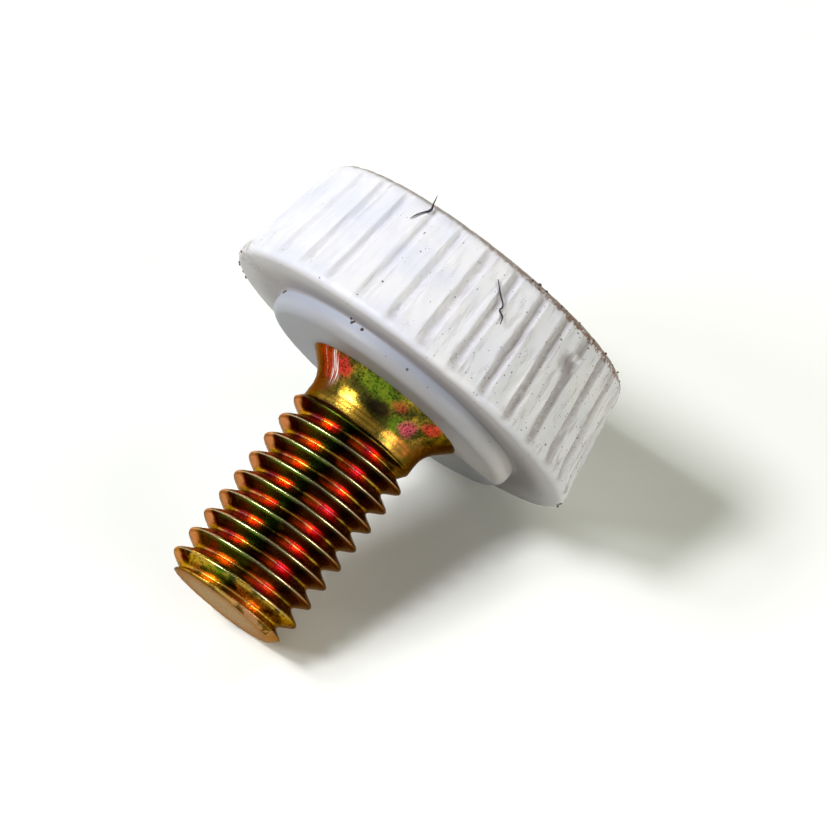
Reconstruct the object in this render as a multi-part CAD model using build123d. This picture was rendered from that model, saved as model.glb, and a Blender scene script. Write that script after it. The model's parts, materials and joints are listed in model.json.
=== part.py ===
from build123d import *
import os
from math import atan2, ceil, cos, degrees, radians, sin, tan

os.makedirs("parts", exist_ok=True)

# A thumb knob: a ribbed plastic grip moulded round the head of a countersunk screw.
# Sizes are in millimetres. Both pieces are drawn upright on the Z axis, with z = 0 on
# the face of the boss, the grip above it and the screw hanging below. The last step
# lays the knob on its side, resting on the rim of the grip and the end of the screw.

# Grip
rim_radius = 8.45           # crest of the ribs at the wide, lower end
top_radius = 7.63           # crest of the ribs where the top edge starts to round off
grip_height = 5.6           # from the underside to the flat top
rim_round = 0.35
top_round = 0.75
boss_radius = 6.0
boss_height = 0.9
boss_chamfer = 0.3

# Ribs round the grip
rib_count = 33
rib_sink = 0.04             # how far the middle of each rib has sunk below its edges
groove_width = 0.55
groove_depth = 0.22         # from the crest of a rib to the bottom of a groove
groove_end_depth = 0.04     # what is left of it at the rim and at the flat top
groove_runout = 0.7         # height over which it gets shallow towards the rim
rim_round_turns = (0, 45)
top_round_turns = (30, 60, 90)

# Screw, with a standard coarse thread of 6 mm
thread_diameter = 5.9
thread_pitch = 1.0
thread_depth = 0.61
thread_land = 0.15          # flat that is left on the crest of the thread
flank_angle = 30.0
thread_phase = 0.24         # turn of the thread round the axis, in pitches
thread_runout = 0.5         # height over which its groove fades into the neck
screw_reach = 10.9          # from the face of the boss to the end of the screw
tip_chamfer = 0.5
neck_step = 0.25            # how far the plain neck lies below the crest of the thread
neck_end = 1.95             # depth below the boss face where the thread begins
flare_radius = 3.62         # where the cone of the head leaves the boss
flare_bend = 1.3            # radius of the bend from the neck to the cone
flare_bend_turns = (0, 22.5, 45)

# Head of the screw, buried in the grip
head_radius = 5.5
head_land = 0.35            # straight edge above the cone
slot_width = 1.6
slot_depth = 1.4

trim_margin = 0.05          # how far the rough thread stands out of its true crest
lean_steps = 4              # tries that bring both ends of the knob to the floor
full_turn = 360.0

thread_radius = thread_diameter / 2
root_radius = thread_radius - thread_depth
neck_radius = thread_radius - neck_step
underside = boss_height
head_cone_top = head_radius - flare_radius
head_top = head_cone_top + head_land
rib_angle = full_turn / rib_count


def polar(radius, angle, z):
    """A point at a radius and an angle in degrees round the axis."""
    return Vector(radius * cos(radians(angle)), radius * sin(radians(angle)), z)


def rib_outline(height, crest, depth):
    """The outline of the ribs at a height: slightly sunk faces with a vee groove between."""
    z = underside + height
    half_groove = degrees(groove_width / 2 / crest)
    half_rib = rib_angle / 2 - half_groove
    sunk = crest - min(rib_sink, depth / 2)
    outline = []
    for rib in range(rib_count):
        middle = (rib + 0.5) * rib_angle
        outline += [
            polar(crest, middle - half_rib, z),
            polar(sunk, middle, z),
            polar(crest, middle + half_rib, z),
            polar(crest - depth, middle + rib_angle / 2, z),
        ]
    return make_face(Polyline(*outline, close=True))


def make_ribs():
    """The ribbed body of the grip, drawn through its outlines from the rim to the top."""
    side_top = grip_height - top_round
    slope = (rim_radius - top_radius) / (side_top - rim_round)
    sections = []
    for turn in rim_round_turns:
        rise = rim_round * (1 - cos(radians(turn)))
        inset = rim_round * (1 - sin(radians(turn)))
        sections.append(rib_outline(rise, rim_radius - inset, groove_end_depth))
    sections += [
        rib_outline(rim_round, rim_radius, groove_end_depth),
        rib_outline(rim_round + groove_runout, rim_radius - slope * groove_runout, groove_depth),
        rib_outline(side_top, top_radius, groove_depth),
    ]
    for turn in top_round_turns:
        rise = top_round * sin(radians(turn))
        inset = top_round * (1 - cos(radians(turn)))
        depth = max(groove_depth - inset, groove_end_depth)
        sections.append(rib_outline(side_top + rise, top_radius - inset, depth))
    return loft(sections, ruled=True)


def make_boss():
    """The round boss under the grip, with the outer edge of its face broken."""
    boss = Cylinder(
        boss_radius, boss_height + rim_round, align=(Align.CENTER, Align.CENTER, Align.MIN)
    )
    face_edge = boss.edges().filter_by(GeomType.CIRCLE).sort_by(Axis.Z)[0]
    return chamfer(face_edge, boss_chamfer)


def make_screw_blank():
    """The head, flare and neck of the screw, turned round the axis, with a conical end."""
    last_turn = radians(flare_bend_turns[-1])
    foot_radius = neck_radius + flare_bend * (1 - cos(last_turn))
    bend_start = foot_radius - flare_radius - flare_bend * sin(last_turn)
    bend = [
        Vector(
            neck_radius + flare_bend * (1 - cos(radians(turn))),
            0,
            bend_start + flare_bend * sin(radians(turn)),
        )
        for turn in flare_bend_turns
    ]
    profile = Polyline(
        *bend,
        Vector(head_radius, 0, head_cone_top),
        Vector(head_radius, 0, head_top),
        Vector(0, 0, head_top),
        Vector(0, 0, -neck_end - thread_runout),
        Vector(root_radius, 0, -neck_end - thread_runout),
        Vector(neck_radius, 0, -neck_end),
        close=True,
    )
    return revolve(make_face(profile), Axis.Z)


def make_slot():
    """The driver slot in the buried head, which the plastic fills and grips by."""
    slot = Box(
        2 * head_radius + head_land,
        slot_width,
        slot_depth,
        align=(Align.CENTER, Align.CENTER, Align.MAX),
    )
    return Pos(0, 0, head_top) * slot


def helix_edge(radius, z):
    """One turn of the thread's helix that starts at a height on the X axis."""
    return Helix(thread_pitch, thread_pitch, radius, center=(0, 0, z)).edge()


def helical_cap(z):
    """One turn of the surface between the root of the thread and the axis."""
    return Face.make_surface_from_curves(
        helix_edge(root_radius, z), Edge.make_line((0, 0, z), (0, 0, z + thread_pitch))
    )


def make_rough_thread():
    """A length of threaded rod with sharper crests than the screw, sewn turn by turn."""
    flank_slope = tan(radians(flank_angle))
    crest = thread_radius + trim_margin
    flank_rise = (crest - root_radius) * flank_slope
    root_rise = thread_pitch - thread_land - 2 * thread_depth * flank_slope
    form = [
        (root_radius, 0),
        (root_radius, root_rise),
        (crest, root_rise + flank_rise),
        (crest, thread_pitch - flank_rise),
        (root_radius, thread_pitch),
    ]
    turns = ceil((screw_reach - neck_end) / thread_pitch) + 2
    start = -screw_reach - (1 + thread_phase) * thread_pitch
    faces = []
    for turn in range(turns):
        z = start + turn * thread_pitch
        edges = [helix_edge(radius, z + height) for radius, height in form]
        faces += [Face.make_surface_from_curves(*pair) for pair in zip(edges, edges[1:])]
    for z in (start, start + turns * thread_pitch):
        wall = [Vector(radius, 0, z + height) for radius, height in form]
        wall += [Vector(0, 0, z + thread_pitch), Vector(0, 0, z)]
        faces += [helical_cap(z), make_face(Polyline(*wall, close=True)).face()]
    return Solid(Shell(Face.sew_faces(faces)[0]))


def make_thread():
    """The thread, turned down to its true crest and chamfered at the tip and at the neck."""
    side = Polyline(
        Vector(0, 0, -neck_end),
        Vector(0, 0, -screw_reach),
        Vector(thread_radius - tip_chamfer, 0, -screw_reach),
        Vector(thread_radius, 0, tip_chamfer - screw_reach),
        Vector(thread_radius, 0, -neck_end - neck_step),
        Vector(neck_radius, 0, -neck_end),
        close=True,
    )
    return make_rough_thread() & revolve(make_face(side), Axis.Z)


def resting_place(grip, screw):
    """Where the upright knob goes to lie on the rim of its grip and the end of its screw."""
    lean = degrees(atan2(rim_radius - thread_radius, underside + screw_reach))
    for _ in range(lean_steps):
        turn = Rot(0, 90 - lean, 0)
        gap = (turn * screw).bounding_box().min.Z - (turn * grip).bounding_box().min.Z
        lean += degrees(gap / screw_reach)
    box = Compound([turn * grip, turn * screw]).bounding_box()
    return Pos(-box.center().X, -box.center().Y, -box.min.Z) * turn


slotted_blank = make_screw_blank() - make_slot()
screw = slotted_blank + make_thread()
grip = make_ribs() + make_boss() - slotted_blank
place = resting_place(grip, screw)
for name, solid in {"grip": grip, "screw": screw}.items():
    export_step(place * solid, f"parts/{name}.step")
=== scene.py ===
"""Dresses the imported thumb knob: a ribbed plastic grip moulded round a plated screw.

The meshes are drawn upright in millimetres, with z = 0 on the face of the boss, the grip
above it and the screw below. Each is then laid down into the frame by one matrix.
"""

import json
import logging
import math
from collections.abc import Iterable, Sequence
from dataclasses import dataclass
from enum import Enum

import bpy
import numpy as np
from mathutils import Matrix, Quaternion, Vector

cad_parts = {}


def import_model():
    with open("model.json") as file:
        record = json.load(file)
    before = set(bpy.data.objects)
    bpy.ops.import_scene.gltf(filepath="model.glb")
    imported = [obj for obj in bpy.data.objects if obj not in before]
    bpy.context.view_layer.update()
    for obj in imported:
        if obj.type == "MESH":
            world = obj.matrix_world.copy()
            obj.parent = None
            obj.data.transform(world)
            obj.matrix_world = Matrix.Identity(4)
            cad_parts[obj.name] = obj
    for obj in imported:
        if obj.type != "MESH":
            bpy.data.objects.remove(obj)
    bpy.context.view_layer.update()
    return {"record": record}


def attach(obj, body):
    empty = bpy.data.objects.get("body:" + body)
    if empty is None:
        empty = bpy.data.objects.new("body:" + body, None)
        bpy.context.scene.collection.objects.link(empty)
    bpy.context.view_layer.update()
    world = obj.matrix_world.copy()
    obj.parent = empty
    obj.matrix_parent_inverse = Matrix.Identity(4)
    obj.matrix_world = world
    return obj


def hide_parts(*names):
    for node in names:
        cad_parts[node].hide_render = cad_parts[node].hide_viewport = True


log = logging.getLogger("thumb_knob")

Colour = tuple[float, float, float, float]
Span = tuple[float, float]
MM = 0.001
WELD_DISTANCE = 0.001  # in the upright millimetres that the meshes are drawn in


class NodeName(Enum):
    """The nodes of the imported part."""

    GRIP = "grip"
    SCREW = "screw"


class SlotName(Enum):
    """The record's material slots."""

    PLASTIC = "grip_plastic"
    PLATING = "plated_steel"


class MountName(Enum):
    """The mounts that say where the knob lies."""

    THREAD = "thread"
    BOSS_FACE = "boss_face"


def grey(level: float) -> Colour:
    """A grey of one level."""
    return (level, level, level, 1.0)


class Term:
    """A node socket that takes part in arithmetic, so that node maths reads as Python."""

    def __init__(self, graph: "Graph", socket: bpy.types.NodeSocket) -> None:
        """Keeps the socket and the graph that its Math nodes go into.

        Args:
            graph: The graph that owns the socket.
            socket: An output socket.
        """
        self.graph = graph
        self.socket = socket

    def __add__(self, other: "Term | float") -> "Term":
        """self + other."""
        return self.graph.math("ADD", self, other)

    __radd__ = __add__

    def __sub__(self, other: "Term | float") -> "Term":
        """self - other."""
        return self.graph.math("SUBTRACT", self, other)

    def __rsub__(self, other: float) -> "Term":
        """other - self."""
        return self.graph.math("SUBTRACT", other, self)

    def __mul__(self, other: "Term | float") -> "Term":
        """self * other."""
        return self.graph.math("MULTIPLY", self, other)

    __rmul__ = __mul__

    def __truediv__(self, other: "Term | float") -> "Term":
        """self / other."""
        return self.graph.math("DIVIDE", self, other)

    def root(self) -> "Term":
        """The square root."""
        return self.graph.math("SQRT", self)

    def part(self) -> "Term":
        """The fraction above the next lower whole number."""
        return self.graph.math("FRACT", self)

    def at_least(self, other: "Term | float") -> "Term":
        """The larger of the two."""
        return self.graph.math("MAXIMUM", self, other)

    def at_most(self, other: "Term | float") -> "Term":
        """The smaller of the two."""
        return self.graph.math("MINIMUM", self, other)

    def within(self, low: float, high: float) -> "Term":
        """Itself, kept between two limits."""
        return self.at_least(low).at_most(high)

    def rise(self, low: float, high: float) -> "Term":
        """A smooth step.

        Args:
            low: Where it is still 0.
            high: Where it has reached 1.

        Returns:
            A value from 0 to 1.
        """
        return self.graph.term(
            "ShaderNodeMapRange",
            {"interpolation_type": "SMOOTHSTEP"},
            {"Value": self, "From Min": low, "From Max": high},
            "Result",
        )

    def fall(self, low: float, high: float) -> "Term":
        """A smooth step down, from 1 at low to 0 at high."""
        return 1 - self.rise(low, high)

    def band(self, low: float, high: float, soft: float) -> "Term":
        """1 between two limits, with soft edges outside them."""
        return self.rise(low - soft, low) * self.fall(high, high + soft)


class Graph:
    """Adds nodes to a shader tree or a geometry tree."""

    def __init__(self, tree: bpy.types.NodeTree) -> None:
        """Keeps the tree.

        Args:
            tree: The node tree that every node goes into.
        """
        self.tree = tree

    @staticmethod
    def _find(sockets: bpy.types.NodeInputs, key: str | int) -> bpy.types.NodeSocket:
        """Finds a socket.

        Args:
            sockets: A node's inputs or its outputs.
            key: The socket's index, identifier or name.

        Returns:
            The socket.
        """
        if isinstance(key, int):
            return sockets[key]
        for socket in sockets:
            if socket.identifier == key:
                return socket
        return next(s for s in sockets if s.name == key and s.enabled)

    def node(
        self, kind: str, settings: dict | None = None, inputs: dict | None = None
    ) -> bpy.types.Node:
        """Adds one node.

        Args:
            kind: Blender's name of the node's type.
            settings: The node's own settings, set before its sockets.
            inputs: A value or a Term for each socket, by name, identifier or index.

        Returns:
            The node.
        """
        node = self.tree.nodes.new(kind)
        for name, value in (settings or {}).items():
            setattr(node, name, value)
        for key, value in (inputs or {}).items():
            socket = self._find(node.inputs, key)
            if isinstance(value, Term):
                self.tree.links.new(value.socket, socket)
            else:
                socket.default_value = value
        return node

    def out(self, node: bpy.types.Node, key: str | int = 0) -> Term:
        """One output of a node as a Term."""
        return Term(self, self._find(node.outputs, key))

    def term(
        self,
        kind: str,
        settings: dict | None = None,
        inputs: dict | None = None,
        key: str | int = 0,
    ) -> Term:
        """Adds one node for the sake of one of its outputs.

        Args:
            kind: Blender's name of the node's type.
            settings: The node's own settings.
            inputs: A value or a Term for each socket.
            key: Which output to give.

        Returns:
            That output.
        """
        return self.out(self.node(kind, settings, inputs), key)

    def math(self, operation: str, *values: "Term | float") -> Term:
        """A Math node on up to three values."""
        return self.term("ShaderNodeMath", {"operation": operation}, dict(enumerate(values)))

    def split(self, vector: Term) -> tuple[Term, Term, Term]:
        """The x, y and z of a vector."""
        node = self.node("ShaderNodeSeparateXYZ", None, {"Vector": vector})
        return self.out(node, "X"), self.out(node, "Y"), self.out(node, "Z")

    def join(self, x: "Term | float", y: "Term | float", z: "Term | float") -> Term:
        """A vector from its x, y and z."""
        return self.term("ShaderNodeCombineXYZ", None, {"X": x, "Y": y, "Z": z})

    def noise(self, vector: Term, scale: float, detail: float = 2.0, rough: float = 0.5) -> Term:
        """A noise, mostly between 0.2 and 0.8.

        Args:
            vector: The place that it is read at.
            scale: How many of its largest waves fit into one unit.
            detail: How many finer layers it has.
            rough: How much each finer layer counts.

        Returns:
            The noise.
        """
        inputs = {"Vector": vector, "Scale": scale, "Detail": detail, "Roughness": rough}
        return self.term("ShaderNodeTexNoise", None, inputs)

    def mix(self, factor: "Term | float", first: "Term | Colour", second: "Term | Colour") -> Term:
        """One colour that turns into another.

        Args:
            factor: How much of the second colour shows, from 0 to 1.
            first: The colour at 0.
            second: The colour at 1.

        Returns:
            The mixed colour.
        """
        inputs = {"Factor_Float": factor, "A_Color": first, "B_Color": second}
        return self.term("ShaderNodeMix", {"data_type": "RGBA"}, inputs, "Result_Color")

    def coats(self, colour: Term, *coats: tuple[Term, "Term | Colour"]) -> Term:
        """Lays coats over a colour, one after another.

        Args:
            colour: The colour under them.
            coats: How much of each coat shows, from 0 to 1, and its tint.

        Returns:
            The colour with all the coats.
        """
        for share, tint in coats:
            colour = self.mix(share, colour, tint)
        return colour

    def ramp(self, factor: Term, stops: Sequence[tuple[float, Colour]]) -> Term:
        """A colour ramp.

        Args:
            factor: Where on the ramp each point is, from 0 to 1.
            stops: A place and a colour for each stop, in rising order.

        Returns:
            The ramp's colour.
        """
        node = self.node("ShaderNodeValToRGB", None, {"Fac": factor})
        elements = node.color_ramp.elements
        while len(elements) < len(stops):
            elements.new(1.0)
        for element, (place, colour) in zip(elements, stops):
            element.position = place
            element.color = colour
        return self.out(node, "Color")

    def specks(self, vector: Term, scale: float, size: float, share: "Term | float") -> Term:
        """Scattered round specks.

        Args:
            vector: The place on the surface.
            scale: How many cells stand side by side over one unit.
            size: A speck's radius as a share of its cell.
            share: The share of the cells that have a speck.

        Returns:
            1 on a speck and 0 elsewhere.
        """
        cells = self.node("ShaderNodeTexVoronoi", None, {"Vector": vector, "Scale": scale})
        lot, width, _ = self.split(self.out(cells, "Color"))
        reach = size * (0.35 + 0.9 * width)
        spot = (reach - self.out(cells, "Distance")) / (0.35 * size)
        return spot.within(0.0, 1.0) * self.math("LESS_THAN", lot, share)

    def bump(self, height: Term, strength: float, depth: float) -> Term:
        """A fine relief.

        Args:
            height: The relief, as a noise or a sum of noises.
            strength: How much of it shows.
            depth: The relief's depth in millimetres.

        Returns:
            The bent normal.
        """
        inputs = {"Strength": strength, "Distance": depth * MM, "Height": height}
        return self.term("ShaderNodeBump", None, inputs)


@dataclass(frozen=True)
class Stance:
    """How the upright knob lies in the frame."""

    origin: Vector
    up: Vector
    down_side: Vector

    @classmethod
    def from_record(cls, record: dict) -> "Stance":
        """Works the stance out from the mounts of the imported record.

        Args:
            record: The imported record.

        Returns:
            The stance of the knob.
        """
        mounts = {mount["name"]: mount for mount in record["mounts"]}
        thread = Vector(mounts[MountName.THREAD.value]["pos_m"])
        face = Vector(mounts[MountName.BOSS_FACE.value]["pos_m"])
        up = -Vector(mounts[MountName.BOSS_FACE.value]["axis"]).normalized()
        floorward = Vector((0.0, 0.0, -1.0))
        return cls(
            origin=thread + up * (face - thread).dot(up),
            up=up,
            down_side=(floorward - up * floorward.dot(up)).normalized(),
        )

    @property
    def matrix(self) -> Matrix:
        """From upright millimetres to the frame's metres."""
        side = self.up.cross(self.down_side)
        turn = Matrix((self.down_side, side, self.up)).transposed().to_4x4()
        return Matrix.Translation(self.origin) @ turn @ Matrix.Scale(MM, 4)


@dataclass(frozen=True)
class PhotoAngle:
    """Angles round the knob as the camera sees them: 90 faces the camera, 180 is the left edge."""

    down_side: float = -61.3

    def azimuth(self, seen: float) -> float:
        """The upright azimuth, in radians, of an angle as seen, in degrees."""
        return math.radians(self.down_side - seen)


SEEN = PhotoAngle()


class Surface:
    """The coordinates that every finish of the knob uses, in upright millimetres."""

    def __init__(self, graph: Graph, stance: Stance) -> None:
        """Adds the nodes that give the place, the radius and the angle of each point.

        Args:
            graph: The finish's graph.
            stance: How the knob lies in the frame.
        """
        place, turn, scale = stance.matrix.inverted().decompose()
        inputs = {
            "Vector": graph.term("ShaderNodeTexCoord", key="Object"),
            "Location": place,
            "Rotation": turn.to_euler(),
            "Scale": scale,
        }
        self.graph = graph
        self.point = graph.term("ShaderNodeMapping", None, inputs)
        self.x, self.y, self.z = graph.split(self.point)
        self.radius = (self.x * self.x + self.y * self.y).root()
        self.turn = graph.math("ARCTAN2", self.y, self.x) / math.tau
        self.seen = (SEEN.down_side / 360.0 - self.turn).part() * 360.0

    def patch(self, seen: float, z: float, wide: float, tall: float, drift: Term) -> Term:
        """A soft oval patch on the side that the camera sees.

        Args:
            seen: The angle of its middle, in degrees as seen.
            z: The height of its middle.
            wide: Half its width, in degrees.
            tall: Half its height.
            drift: How far its outline strays, as a share of its size.

        Returns:
            1 in the middle of the patch and 0 outside it.
        """
        across = (self.seen - seen) / wide
        along = (self.z - z) / tall
        return ((across * across + along * along).root() + drift).fall(0.35, 1.0)


def new_material(name: str) -> tuple[bpy.types.Material, Graph]:
    """Makes an empty node material.

    Args:
        name: The material's name.

    Returns:
        The material and its graph.
    """
    material = bpy.data.materials.new(name)
    material.use_nodes = True
    material.node_tree.nodes.clear()
    return material, Graph(material.node_tree)


def finish_surface(graph: Graph, sockets: dict) -> None:
    """Ends a material in one Principled shader with these sockets."""
    shader = graph.term("ShaderNodeBsdfPrincipled", None, sockets, "BSDF")
    graph.node("ShaderNodeOutputMaterial", None, {"Surface": shader})


@dataclass(frozen=True)
class PlasticPlaces:
    """Where the grip's dirt and painted shade lie: the heights, radii and angles they fade in or
    out over.
    """

    side_heights: Span = (1.35, 6.15)
    side_radii: Span = (6.9, 7.2)
    boss_wall: Span = (6.02, 6.1)
    boss_top: Span = (0.9, 1.0)
    boss_face: Span = (0.2, 0.7)
    seam: Span = (0.76, 0.88)
    underside: Span = (0.93, 1.1)
    under_shade: Span = (6.4, 8.2)
    crease: Span = (6.4, 8.0)
    rim_heights: Span = (0.92, 1.5)
    rim_radii: Span = (7.9, 8.15)
    top_edge_heights: Span = (6.2, 6.38)
    top_edge_radii: Span = (6.95, 7.2)
    clean_lit_from: Span = (35.0, 125.0)
    clean_lit_to: Span = (190.0, 215.0)


class GripSurface(Surface):
    """The grip's coordinates, with the noises and masks that its dirt and its painted shade
    follow.
    """

    def __init__(self, graph: Graph, stance: Stance, places: PlasticPlaces) -> None:
        """Adds the shared noises and masks.

        Args:
            graph: The finish's graph.
            stance: How the knob lies in the frame.
            places: Where the dirt lies.
        """
        super().__init__(graph, stance)
        self.cloud = graph.noise(self.point, 0.55, 3.0)
        self.fine = graph.noise(self.point, 5.0, 4.0, 0.65)
        self.side = self.z.band(*places.side_heights, 0.35) * self.radius.rise(*places.side_radii)
        # Dirt and painted shade on the side turned from the key lamp; clean and unshaded from 125
        # to 190 degrees as seen.
        self.dirt_and_shade = 1 - self.seen.rise(*places.clean_lit_from) * self.seen.fall(*places.clean_lit_to)


@dataclass(frozen=True)
class GripPlastic:
    """White moulded plastic: dust in its grooves, a brown line round its top, painted shade and a
    highlight.
    """

    stance: Stance
    rib_count: int
    places: PlasticPlaces = PlasticPlaces()
    white: Colour = (0.83, 0.83, 0.84, 1.0)
    shade: Colour = (0.74, 0.755, 0.82, 1.0)
    # Dirt in the grooves, with painted shade in them that is deeper on the shaded side.
    groove_dirt_and_shade: Colour = (0.30, 0.255, 0.26, 1.0)
    # Dirt and painted shade in the crease round the boss.
    crease_dirt_and_shade: Colour = (0.30, 0.27, 0.27, 1.0)
    # Grime and painted shade on the side turned from the lamps.
    grime_and_shade_beige: Colour = (0.76, 0.74, 0.72, 1.0)
    # Painted shade: the boss, its face and the underside face away from the lamps.
    boss_shade_blue: Colour = (0.39, 0.42, 0.48, 1.0)
    boss_face: Colour = (0.35, 0.335, 0.32, 1.0)
    underside_shade_grey: Colour = (0.68, 0.65, 0.63, 1.0)
    rim_brown: Colour = (0.20, 0.105, 0.06, 1.0)
    speck_brown: Colour = (0.05, 0.035, 0.03, 1.0)
    # Painted highlight on the nick in one rib.
    chip_highlight_white: Colour = grey(0.85)
    roughness: float = 0.42
    ior: float = 1.49

    def material(self) -> bpy.types.Material:
        """Builds the material.

        Returns:
            The finish of the grip.
        """
        material, graph = new_material("grip_plastic")
        at = GripSurface(graph, self.stance, self.places)
        groove = self._groove(at)
        colour = graph.mix(at.cloud.rise(0.35, 0.7), self.white, self.shade)
        colour = self._ribs_dirt_and_shade(at, colour, groove)
        colour = self._underside_shade(at, colour)
        colour = self._stains_and_glint(at, colour)
        colour = graph.mix(self._specks(at) * 0.85, colour, self.speck_brown)
        relief = at.fine * 0.5 + at.cloud * 0.6 + graph.noise(at.point, 22.0) * 0.12
        sockets = {
            "Base Color": colour,
            "Roughness": self.roughness + 0.25 * groove + 0.1 * at.fine,
            "Normal": graph.bump(relief, 0.35, 0.05),
            "IOR": self.ior,
        }
        finish_surface(graph, sockets)
        return material

    def _groove(self, at: GripSurface) -> Term:
        """How much dirt and painted shade lie in the grooves between the ribs.

        Args:
            at: The place on the grip.

        Returns:
            The dirt's share.
        """
        rib_place = (at.turn * self.rib_count).part()
        off_groove = rib_place.at_most(1 - rib_place)
        groove = off_groove.fall(0.03, 0.23) * at.side
        # Much stronger on the side that takes the painted shade.
        return groove * (0.10 + 0.8 * at.dirt_and_shade) * (0.45 + 0.55 * at.fine.rise(0.3, 0.55))

    def _ribs_dirt_and_shade(self, at: GripSurface, colour: Term, groove: Term) -> Term:
        """Lays the grooves' dirt and painted shade, its streaks and a coat of grime and painted
        shade over the ribs.

        Args:
            at: The place on the grip.
            colour: The colour of the clean plastic.
            groove: How much dirt and painted shade lie in the grooves.

        Returns:
            The colour with the dirt and the painted shade.
        """
        graph = at.graph
        streaks = graph.noise(graph.join(at.x, at.y, at.z * 0.06), 3.4, 3.0, 0.6)
        lines = streaks.rise(0.5, 0.66) * at.side * (0.06 + 0.5 * at.dirt_and_shade)
        # Painted shade with some grime: a pale brown coat that darkens the side turned from the
        # lamps.
        grime_and_shade_film = at.dirt_and_shade * at.side * (0.15 + 0.35 * (at.fine * at.cloud).rise(0.2, 0.42))
        return graph.coats(
            colour,
            (groove, self.groove_dirt_and_shade),
            (lines, self.groove_dirt_and_shade),
            (grime_and_shade_film, self.grime_and_shade_beige),
        )

    def _underside_shade(self, at: GripSurface, colour: Term) -> Term:
        """Lays the painted shade of the underside, the crease and the boss over the colour, with
        dirt in the crease.

        Args:
            at: The place on the grip.
            colour: The colour so far.

        Returns:
            The colour with the painted shade of the underside and the boss.
        """
        graph, places = at.graph, self.places
        # Painted shade: the underside darkens towards the boss, the boss turns a shaded blue-grey,
        # and its face darkens most where it faces the camera.
        below = at.z.fall(*places.underside) * at.radius.rise(*places.boss_wall)
        shaded = 0.95 - 0.35 * at.radius.rise(*places.under_shade)
        crease = at.radius.fall(*places.crease) * below
        boss = at.radius.fall(*places.boss_wall) * at.z.fall(*places.boss_top)
        boss_shade_tint = graph.mix(at.seen.rise(15.0, 85.0), self.underside_shade_grey, self.boss_shade_blue)
        face = boss * at.z.fall(*places.boss_face) * (1 - 0.6 * at.seen.rise(120.0, 150.0))
        face = face * (0.35 + 0.65 * at.seen.rise(40.0, 80.0))
        seam = boss * at.z.rise(*places.seam)
        return graph.coats(
            colour,
            (below * shaded, self.underside_shade_grey),
            (crease * 0.85, self.crease_dirt_and_shade),
            (boss, boss_shade_tint),
            (face * 0.85, self.boss_face),
            (seam * 0.85, self.crease_dirt_and_shade),
        )

    def _stains_and_glint(self, at: GripSurface, colour: Term) -> Term:
        """Lays the brown top edge, the marks round the nick with a painted highlight, and the
        rim's stain over it.

        Args:
            at: The place on the grip.
            colour: The colour so far.

        Returns:
            The colour with the stains and the painted highlight.
        """
        places = self.places
        grime = 0.25 * at.dirt_and_shade * at.fine.rise(0.35, 0.6)
        edge = (at.z + grime).rise(*places.top_edge_heights)
        edge = edge * at.radius.rise(*places.top_edge_radii)
        edge = edge * (0.6 + 0.4 * at.fine.rise(0.35, 0.5)) * (0.7 + 0.3 * at.dirt_and_shade)
        drift = (at.fine - 0.5) * 0.8
        chip_ring = at.patch(50.0, 4.75, 5.5, 0.6, drift)
        # A painted highlight on the nick.
        chip = at.patch(47.0, 5.2, 1.6, 0.25, drift)
        stain = at.patch(174.0, 1.2, 14.0, 0.5, drift) * at.fine.rise(0.42, 0.58)
        return at.graph.coats(
            colour,
            (edge, self.rim_brown),
            (chip_ring * 0.6, self.groove_dirt_and_shade),
            (chip, self.chip_highlight_white),
            (stain * 0.7, self.rim_brown),
        )

    def _specks(self, at: GripSurface) -> Term:
        """Where the dark specks are, in three sizes.

        Args:
            at: The place on the grip.

        Returns:
            1 on a speck and 0 elsewhere.
        """
        rim = at.z.band(*self.places.rim_heights, 0.15) * at.radius.rise(*self.places.rim_radii)
        grimy = at.dirt_and_shade * at.side
        share = 0.09 + 0.55 * grimy + 0.3 * rim
        large = at.graph.specks(at.point, 2.1, 0.13, share)
        medium = at.graph.specks(at.point, 4.3, 0.16, share * 0.9)
        small = at.graph.specks(at.point, 7.9, 0.2, 0.35 * grimy)
        return large.at_least(medium).at_least(small)


class ScrewSurface(Surface):
    """The screw's coordinates, with the two noises that its plating follows."""

    def __init__(self, graph: Graph, stance: Stance) -> None:
        """Adds the shared noises.

        Args:
            graph: The finish's graph.
            stance: How the knob lies in the frame.
        """
        super().__init__(graph, stance)
        self.medium = graph.noise(self.point, 1.3, 3.0)
        self.grain = graph.noise(self.point, 9.0, 3.0, 0.7)


@dataclass(frozen=True)
class PlatingPlaces:
    """Where the plating changes: heights and radii that each change fades over."""

    gilt: Span = (-10.3, -8.9)
    bevel: Span = (-10.75, -10.45)
    outline: Span = (-10.88, -10.8)
    end_rim: Span = (2.2, 2.4)
    end_shade: Span = (1.2, 2.3)
    speckle: Span = (-1.6, -0.9)
    neck_rings: Span = (-1.95, -1.45)


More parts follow.
